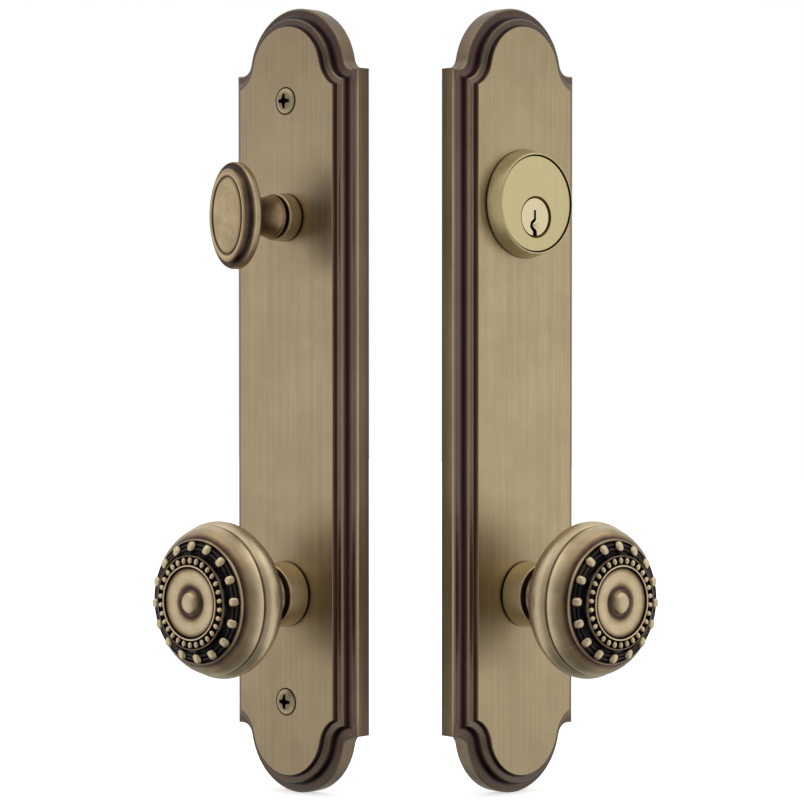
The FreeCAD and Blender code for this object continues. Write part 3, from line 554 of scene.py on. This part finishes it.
def plate_brass(name, trim):
    """Brushed brass for a plate: upright grain, with patina, painted dark reflections and painted
    highlight lines down the steps of its moulding.
    Its ends get less light, and the moulding round its arches less again."""
    material, tree = new_material(name)
    local = local_coordinates(tree, trim)
    _, y, z = tree.split(local)
    depth = tree.math("SUBTRACT", y, face_y)
    colour = tree.ramp(depth, ((0.0, plate_brasses[trim]),) + moulding_patina_and_reflections)
    streaks = upright_streaks(tree, local, 0.9, 0.012)
    broad = tree.noise(local, 0.05)
    brushed = tree.math(
        "MULTIPLY",
        tree.window(streaks, 0.3, 0.7, 0.89, 1.08),
        tree.window(broad, 0.3, 0.7, 0.93, 1.05),
    )
    from_middle = tree.math("ABSOLUTE", z)
    ends = tree.window(from_middle, 60.0, 140.0, 1.0, plate_ends[trim])
    on_moulding = tree.window(depth, 0.2, 0.8)
    on_arches = tree.window(from_middle, 114.0, 126.0, 0.0, 0.42)
    arches = tree.math("SUBTRACT", 1.0, tree.math("MULTIPLY", on_moulding, on_arches))
    brushed = tree.math("MULTIPLY", brushed, tree.math("MULTIPLY", ends, arches))
    # Painted shade where other surfaces come near: in the moulding's hollows and round the
    # collars
    colour = painted_crevice_shade(tree, tree.vector("MULTIPLY", colour, brushed), 1.0)
    finish_metal(tree, colour, tree.window(streaks, 0.3, 0.7, 0.34, 0.40), streaks, 0.12)
    return material


def face_brass(name, colour, with_shade_lines, reach):
    """Satin brass for the lock's face and plug: faint upright brushing, and painted shade in its
    crevices. With shade lines, it has a painted shade line at the face's rim and another round
    the plug."""
    material, tree = new_material(name)
    local = local_coordinates(tree, "exterior")
    brushed = tree.window(upright_streaks(tree, local, 1.6, 0.03), 0.25, 0.75, 0.95, 1.05)
    colour = tree.vector("MULTIPLY", colour[:3], brushed)
    if with_shade_lines:
        # Painted shade: a dark line in the gap at the face's rim, and another in the plug's
        # recess
        x, _, z = tree.split(local)
        from_centre = tree.distance(x, tree.math("SUBTRACT", z, cylinder_z))
        rim = tree.window(from_centre, cylinder_face_radius - 0.2, cylinder_face_radius)
        colour = tree.mix(rim, colour, brown_shade)
        from_plug = tree.distance(x, tree.math("SUBTRACT", z, turn_z))
        recess = tree.window(from_plug, plug_recess_radius - 0.2, plug_recess_radius, 1.0, 0.0)
        colour = tree.mix(recess, colour, brown_shade)
    # Painted shade in the crevices round the face and plug
    finish_metal(tree, painted_crevice_shade(tree, colour, reach, 0.9, brown_shade), 0.36)
    return material


def screw_head_brass(name):
    """Brass for the plate screws, with painted shade: black in the cross recess and at the head's
    edge. A ring on the head is a painted highlight.
    """
    material, tree = new_material(name)
    x, y, z = tree.split(local_coordinates(tree, "interior"))
    across = tree.math("ABSOLUTE", x)
    along = tree.math("ABSOLUTE", tree.math("SUBTRACT", tree.math("ABSOLUTE", z), screw_z))
    colour = tree.ramp(tree.distance(x, along), screw_highlight_and_shade_tones)
    narrow = tree.math("MINIMUM", across, along)
    long = tree.math("MAXIMUM", across, along)
    taper = tree.math("MULTIPLY", long, cross_taper)
    inside = tree.math("SUBTRACT", tree.math("SUBTRACT", cross_half_width, taper), narrow)
    within_reach = tree.window(long, cross_reach - 0.1, cross_reach + 0.1, 1.0, 0.0)
    # Painted shade: the cross recess drawn black
    cross = tree.math("MULTIPLY", tree.window(inside, -0.1, 0.1), within_reach)
    colour = tree.mix(cross, colour, black_shade)
    shank = tree.window(y, screw_shank_y - 0.1, screw_shank_y + 0.1)
    colour = tree.mix(shank, colour, screw_shank)
    # Painted shade in the screw's crevices
    finish_metal(tree, painted_crevice_shade(tree, colour, 1.0), 0.38)
    return material


def plain_metal(name, colour, roughness):
    """A plain metal with painted shade in its crevices."""
    material, tree = new_material(name)
    finish_metal(tree, painted_crevice_shade(tree, colour, 0.8, 0.6), roughness)
    return material


antique_brass = aged_brass("antique brass", 1.0, brass_tones)
collar_brass = aged_brass("collar brass", 0.5, lock_tones)
screw_brass = screw_head_brass("screw brass")
cylinder_brass = face_brass("cylinder brass", linear(186, 174, 131), True, 1.0)
plug_brass = face_brass("plug brass", linear(207, 194, 157), False, 2.5)
satin_brass = plain_metal("satin brass", linear(198, 182, 132), 0.34)
zinc_steel = plain_metal("zinc plated steel", linear(185, 186, 184), 0.35)
dark_steel = plain_metal("dark steel", linear(95, 95, 98), 0.35)


# Knobs


knob_front_tones = (
    # radius, tone
    (0.0, 1.0),
    (3.4, 0.95),
    (4.4, 0.45),
    (5.3, 0.2),
    (6.2, 0.45),
    (7.2, 0.9),
    (9.0, 1.05),
    (11.0, 0.95),
    (12.0, 0.5),
    (12.6, 0.12),
    (12.95, 0.2),
    (13.1, 1.05),
    (13.6, 1.05),
    (13.8, 0.02),
    (16.35, 0.02),
    (16.6, 0.4),
    (17.1, 0.5),
    (17.3, 0.03),
    (21.7, 0.03),
    (22.1, 0.12),
    (22.35, 0.5),
    (22.6, 0.9),
    (22.8, 0.9),
)
knob_side_tones = (
    # depth behind the rim, tone
    (0.0, 0.85),
    (0.3, 0.4),
    (0.75, 0.28),
    (1.1, 0.45),
    (1.9, 0.75),
    (3.5, 0.92),
    (6.0, 1.05),
    (6.6, 0.45),
    (7.1, 0.3),
    (7.5, 1.0),
    (8.2, 1.0),
    (10.0, 1.0),
    (16.0, 0.95),
    (21.0, 0.85),
    (23.5, 0.65),
    (28.0, 0.7),
    (neck_end - 2.5, 0.85),
    (neck_end - 1.3, 0.8),
    # Painted shade at the neck's end, by the bushing's tip
    (neck_end - 1.0, 0.5),
    (neck_end, 0.5),
)


def knob_curve():
    """The knob's turned outline, front to back: radius, and depth behind the rim."""
    moves = [
        # Boss, hollow and dished disc
        (2.4, -5.7, 3.9, -4.6),
        (5.2, -3.6, 6.7, -3.9),
        (9.6, -3.75, 12.3, -4.3),
        (12.5, -3.8),
        (12.9, -3.8),
        # Thin ring, recess of the small beads, thin ring
        (13.1, -4.8),
        (13.6, -4.8),
        (13.8, -3.6),
        (16.4, -3.0),
        (16.6, -4.2),
        (17.1, -4.1),
        # Channel of the large beads and the raised rim
        (channel_inner, -channel_rise),
        (channel_outer, (channel_outer - channel_inner) * channel_slope - channel_rise),
        (21.9, -0.6),
        (22.4, -0.6),
        (22.7, -0.2),
        (22.8, 0.5),
        (23.2, 0.75),
        # Front bulge, groove, rear bulge
        (knob_radius - 2.95, 3.1, knob_radius - 1.45, 6.3),
        (knob_radius - 1.9, 6.9),
        (knob_radius - 1.35, 7.6),
        (knob_radius, 10.6, knob_radius - 1.65, 14.8),
        (knob_radius - 4.3, 18.6, knob_radius - 9.6, 21.2),
        # Neck and its groove
        (13.0, 23.2, 10.4, 26.4),
        (10.2, 29.0),
        (10.6, neck_end - 1.5),
        (10.3, neck_end - 1.1),
        (9.6, neck_end - 1.1),
        (9.6, neck_end),
        (5.0, neck_end),
    ]
    return outline((0.0, -boss_rise), *moves)


def add_knob(side, first_bead):
    """A knob with its two rings of beads and the twin ridges that link the large ones."""
    curve = knob_curve()
    radius, depth = curve.T
    on_front = (depth < 0.1) & (radius < front_radius)
    front_tones = tone_at(knob_front_tones, radius)
    tones = np.where(on_front, front_tones, tone_at(knob_side_tones, depth))
    shapes = [lathe(curve + (0, rim_y), tones, hub_z)]
    for ring, foot in ridge_rings:
        inner, outer = ring - ridge_half_width, ring + ridge_half_width
        ridge = outline((inner, foot), (ring, foot - ridge_height, outer, foot))
        shapes.append(lathe(ridge + (0, rim_y), 0.2, hub_z))
    large = bead_ring(
        large_beads,
        large_bead_ring,
        rim_y - large_bead_rise,
        large_bead_tilt,
        large_bead_sizes,
        outer_slope_shade=0.9,
        first=first_bead,
        power=large_bead_fullness,
    )
    small = bead_ring(
        small_beads,
        small_bead_ring,
        rim_y - small_bead_rise,
        small_bead_tilt,
        small_bead_sizes,
        outer_slope_shade=0.2,
        first=math.pi / small_beads,
    )
    knob = add_mesh(side + "_knob_look", *merged(*shapes, large, small), side, antique_brass)
    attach(knob, side + "_knob_set")
    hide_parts(side + "_knob")


def add_bushing(side):
    """The knob's tapered collar, with a painted shade line at its foot, its body painted lighter
    than the knob as painted light, and its barrel.
    """
    base = bushing_base_radius
    curve = outline(
        (bushing_bore, bushing_tip_y),
        (base - 0.8, bushing_tip_y),
        (base - 0.4, bushing_tip_y + 0.3),
        (base, face_y - 0.5),
        (base, face_y),
        (bushing_barrel_radius, face_y),
        (bushing_barrel_radius, bushing_end_y),
        (bushing_bore, bushing_end_y),
        edge=0.1,
    )
    length = face_y - bushing_tip_y
    # Painted shade at the foot, where the collar meets the plate, and at the tip by the knob;
    # painted light lifts the body above the knob's brass
    tones = (
        # distance from the plate's face, tone
        (0.5, 0.0),
        (0.9, 1.15),
        (3.0, 1.2),
        (length - 0.8, 1.1),
        (length - 0.2, 0.95),
        (length, 0.5),
    )
    shape = lathe(curve, tone_at(tones, face_y - curve[:, 1]), hub_z)
    collar = add_mesh(side + "_bushing_look", *shape, side, antique_brass)
    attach(collar, "fixed_trims")
    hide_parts(side + "_knob_bushing")


for side, first_bead in (("interior", first_bead_angle), ("exterior", -first_bead_angle)):
    add_knob(side, first_bead)
    add_bushing(side)


# Thumb turn


turn_ovals = (
    # inset from the width, inset from the height, rise, tone
    (2.6, 2.6, 0.0, 0.35),
    (0.6, 0.6, 0.7, 0.65),
    (0.0, 0.0, 1.7, 0.9),
    (0.0, 0.0, 4.0, 0.95),
    (0.3, 0.3, 4.8, 0.6),
    (0.7, 0.7, 4.85, 0.3),
    (1.5, 1.5, 4.9, 0.26),
    (2.0, 2.1, 5.4, 0.22),
    (2.3, 2.4, 6.6, 0.4),
    (2.9, 3.0, 7.4, 0.9),
    (3.1, 3.4, 7.45, 0.7),
    (3.4, 3.8, 7.47, 0.95),
    (3.9, 4.6, 7.5, 0.95),
    (4.2, 5.1, 7.3, 0.45),
    (4.5, 5.5, 7.05, 0.25),
    (4.9, 5.9, 7.4, 0.75),
    (5.4, 6.8, 7.55, 0.88),
    (7.0, 9.7, 7.8, 0.9),
    (9.5, 15.0, 8.0, 0.9),
    (turn_half_width, turn_half_height, 8.05, 0.92),
)


def oval_head():
    """The thumb turn's head as a stack of ovals, from its back edge to its middle."""
    inset_wide, inset_tall, rise, tone = rounded(np.array(turn_ovals, float), 0.25).T
    wide = np.maximum(turn_half_width - inset_wide, 0.0)
    tall = np.maximum(turn_half_height - inset_tall, 0.0)
    return stacked_ovals(wide, tall, turn_head_back - rise, turn_z, inset_wide, tone, 160)


def add_thumb_turn():
    """The thumb turn: oval head, waisted stem, lip, neck and shaft."""
    stem, waist, lip, neck, shaft = 7.7, 6.75, 7.9, 6.0, 4.94
    waist_y = (turn_lip_y + turn_head_back) / 2
    neck_y = turn_bushing_tip_y - 0.2
    curve = outline(
        (stem, turn_head_back - 1.5),
        (stem, turn_head_back),
        (waist, waist_y, lip, turn_lip_y - 0.9),
        (lip, turn_lip_y),
        (neck, turn_lip_y),
        (neck, neck_y),
        (shaft, neck_y),
        (shaft, turn_end_y),
    )
    # Painted shade: the stem darker under the head and at the lip's back
    tones = (
        # Y, tone
        (turn_head_back, 0.3),
        (turn_head_back + 2.5, 0.42),
        (waist_y, 0.45),
        (turn_lip_y - 2.0, 0.7),
        (turn_lip_y - 1.0, 0.45),
        (turn_lip_y - 0.7, 1.1),
        (turn_lip_y - 0.1, 1.1),
        (turn_lip_y, 0.5),
    )
    stem_shape = lathe(curve, tone_at(tones, curve[:, 1]), turn_z, 128)
    shape = merged(oval_head(), stem_shape)
    turn = add_mesh("thumb_turn_look", *shape, "interior", antique_brass)
    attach(turn, "thumb_turn_set")
    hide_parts("thumb_turn")


def add_turn_bushing():
    """The thumb turn's collar and barrel, with painted shade at its foot and at its tip."""
    bore, barrel, chamfer = 5.0, 6.6, 0.5
    curve = outline(
        (bore, turn_bushing_tip_y),
        (turn_bushing_radius - chamfer, turn_bushing_tip_y),
        (turn_bushing_radius, turn_bushing_tip_y + chamfer),
        (turn_bushing_radius, face_y - chamfer),
        (turn_bushing_radius - chamfer, face_y),
        (barrel, face_y),
        (barrel, turn_bushing_end_y),
        (bore, turn_bushing_end_y),
    )
    # Painted shade at the foot, where the collar meets the plate, and at the tip under the thumb
    # turn's lip
    # distance from the plate's face, tone
    tones = ((0.0, 0.0), (0.4, 0.05), (0.8, 0.95), (5.6, 1.0), (6.2, 1.0), (6.5, 0.5))
    shape = lathe(curve, tone_at(tones, face_y - curve[:, 1]), turn_z, 128)
    collar = add_mesh("turn_bushing_look", *shape, "interior", antique_brass)
    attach(collar, "fixed_trims")
    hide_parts("turn_bushing")


add_thumb_turn()
add_turn_bushing()


# Cylinder collar


def add_cylinder_collar():
    """The tapered ring round the lock's face, with painted shade at its foot and down its inner
    edge.
    """
    tip = cylinder_face_y - 0.5
    bore = cylinder_face_radius + 0.05
    curve = outline(
        (bore, cylinder_face_y + 0.5),
        (bore + 0.1, tip),
        (collar_tip_radius, tip),
        (collar_tip_radius + 0.3, tip + 0.35),
        (collar_foot_radius, face_y - 0.45),
        (collar_foot_radius, face_y),
        (bore, face_y),
        edge=0.1,
    )
    # Painted shade at the foot, where the ring meets the plate
    # distance from the plate's face, tone
    tones = ((0.0, 0.1), (0.4, 0.1), (0.8, 0.85), (4.6, 0.9), (5.6, 0.95), (6.2, 1.05))
    tone = tone_at(tones, face_y - curve[:, 1])
    # Painted shade down the inner edge, in the gap by the face
    tone[curve[:, 0] < bore + 0.2] = 0.2
    shape = lathe(curve, tone, cylinder_z, 256)
    collar = add_mesh("cylinder_collar_look", *shape, "exterior", collar_brass)
    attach(collar, "fixed_trims")
    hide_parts("cylinder_collar")


add_cylinder_collar()


# CAD pieces that show as they are


def finish_cad(node, material, angle=35):
    """Gives a CAD node its material, and smooth shading across edges gentler than an angle."""
    mesh = nodes[node].data
    mesh.materials.clear()
    mesh.materials.append(material)
    mesh.polygons.foreach_set("use_smooth", [True] * len(mesh.polygons))
    mesh.set_sharp_from_angle(angle=math.radians(angle))


for side in trims:
    finish_cad(side + "_plate", plate_brass(side + " plate brass", side), 25)
    for part in ("_bushing_nut", "_spring_cup", "_cup_screws", "_spring_cam", "_spindle"):
        finish_cad(side + part, zinc_steel)
    for part in ("_return_spring", "_retaining_ring", "_set_screw"):
        finish_cad(side + part, dark_steel)
finish_cad("through_screws", screw_brass)
finish_cad("lock_cylinder", cylinder_brass)
finish_cad("lock_plug", plug_brass)
for part in ("key_pins", "driver_pins", "pin_cover", "plug_cap"):
    finish_cad(part, satin_brass)
for part in ("turn_nut", "turn_driver", "threaded_posts", "cylinder_screws", "tailpiece"):
    finish_cad(part, zinc_steel)
for part in ("turn_washer", "turn_clip", "turn_pin", "pin_springs"):
    finish_cad(part, dark_steel)


# Light


ambient = 0.2
panels = (
    # azimuth from the camera, half width (over 180 is all round), elevation, half height,
    # softness, strength
    (-86, 42, 5, 62, 24, 0.85),
    (86, 42, 5, 62, 24, 0.92),
    (0, 200, 75, 30, 22, 0.75),
    (0, 50, 5, 62, 30, 0.3),
    (150, 40, 0, 60, 25, 0.35),
    (-150, 40, 0, 60, 25, 0.35),
)


def studio_world():
    """Soft panels round the object. The camera sees white instead, and so does the metal in
    the directions of the backdrop: behind the object, and above the floor."""
    world = bpy.data.worlds.new("studio")
    bpy.context.scene.world = world
    world.use_nodes = True
    tree = Tree(world.node_tree)
    direction = tree.node("ShaderNodeTexCoord").outputs["Generated"]
    right, front, up = (
        tree.vector("DOT_PRODUCT", direction, axis)
        for axis in (to_right, to_camera, Vector((0, 0, 1)))
    )
    azimuth = tree.math("MULTIPLY", tree.math("ARCTAN2", right, front), 180 / math.pi)
    elevation = tree.math("MULTIPLY", tree.math("ARCSINE", up), 180 / math.pi)

    def band(angle, centre, half, softness):
        """1 inside a band of angles, falling to 0 across its soft edges."""
        off = tree.math("ABSOLUTE", tree.math("SUBTRACT", angle, centre))
        return tree.window(off, half - softness / 2, half + softness / 2, 1.0, 0.0)

    light = ambient
    for centre, half_width, middle, half_height, softness, strength in panels:
        wide = band(azimuth, centre, half_width, softness)
        high = band(elevation, middle, half_height, softness)
        panel = tree.math("MULTIPLY", tree.math("MULTIPLY", wide, high), strength)
        light = tree.math("ADD", panel, light)
    grey = tree.node("ShaderNodeCombineColor", {0: light, 1: light, 2: light}).outputs[0]
    rays = tree.node("ShaderNodeLightPath").outputs
    mirrored = tree.math("MAXIMUM", rays["Is Glossy Ray"], rays["Is Transmission Ray"])
    # From 110 degrees off the camera's direction, and fully from 139
    behind = tree.window(front, -0.75, -0.35, 1.0, 0.0)
    backdrop = tree.math("MULTIPLY", behind, tree.window(up, -0.3, 0.0))
    seen = tree.math("MAXIMUM", rays["Is Camera Ray"], tree.math("MULTIPLY", mirrored, backdrop))
    sockets = {"Color": tree.mix(seen, grey, white), "Strength": 1.0}
    background = tree.node("ShaderNodeBackground", sockets)
    tree.node("ShaderNodeOutputWorld", {0: background.outputs[0]})


studio_world()


# Floor and camera


def add_floor(reach=2.0):
    """A plain pale floor under the trims, reach metres each way: as white as the background,
    with the trims' soft shadow on it. Light from below passes through it to the metal."""
    x, y, z = view_centre.x, view_centre.y, cad_low[2]
    corners = [(x + a * reach, y + b * reach, z) for a, b in ((-1, -1), (1, -1), (1, 1), (-1, 1))]
    mesh = bpy.data.meshes.new("floor")
    mesh.from_pydata(corners, [], [(0, 1, 2, 3)])
    material, tree = new_material("white floor")
    clear = tree.node("ShaderNodeBsdfTransparent").outputs[0]
    pale = tree.node("ShaderNodeBsdfDiffuse", {"Color": (0.8, 0.8, 0.8, 1)}).outputs[0]
    glow = tree.node("ShaderNodeEmission", {"Color": white, "Strength": 0.6}).outputs[0]
    bright = tree.node("ShaderNodeAddShader", {0: pale, 1: glow}).outputs[0]
    seen = tree.node("ShaderNodeLightPath").outputs["Is Camera Ray"]
    mixed = tree.node("ShaderNodeMixShader", {0: seen, 1: clear, 2: bright})
    tree.node("ShaderNodeOutputMaterial", {0: mixed.outputs[0]})
    mesh.materials.append(material)
    floor = bpy.data.objects.new("floor", mesh)
    bpy.context.scene.collection.objects.link(floor)


def add_camera():
    """The photograph's view, from a little above the trims' middle."""
    data = bpy.data.cameras.new("camera")
    camera = bpy.data.objects.new("camera", data)
    bpy.context.scene.collection.objects.link(camera)
    data.sensor_width = sensor_width
    data.lens = sensor_width * focal_pixels / picture_pixels
    data.shift_x = -axis_shift / picture_pixels
    data.shift_y = -horizon_shift / picture_pixels
    data.clip_start, data.clip_end = 0.05, 10
    aim = to_camera * math.cos(camera_elevation) + Vector((0, 0, math.sin(camera_elevation)))
    camera.location = view_centre + aim * camera_distance * MM
    camera.rotation_mode = "QUATERNION"
    camera.rotation_quaternion = (-aim).to_track_quat("-Z", "Y")
    bpy.context.scene.camera = camera


add_floor()
add_camera()
bpy.context.scene.view_settings.view_transform = "Standard"
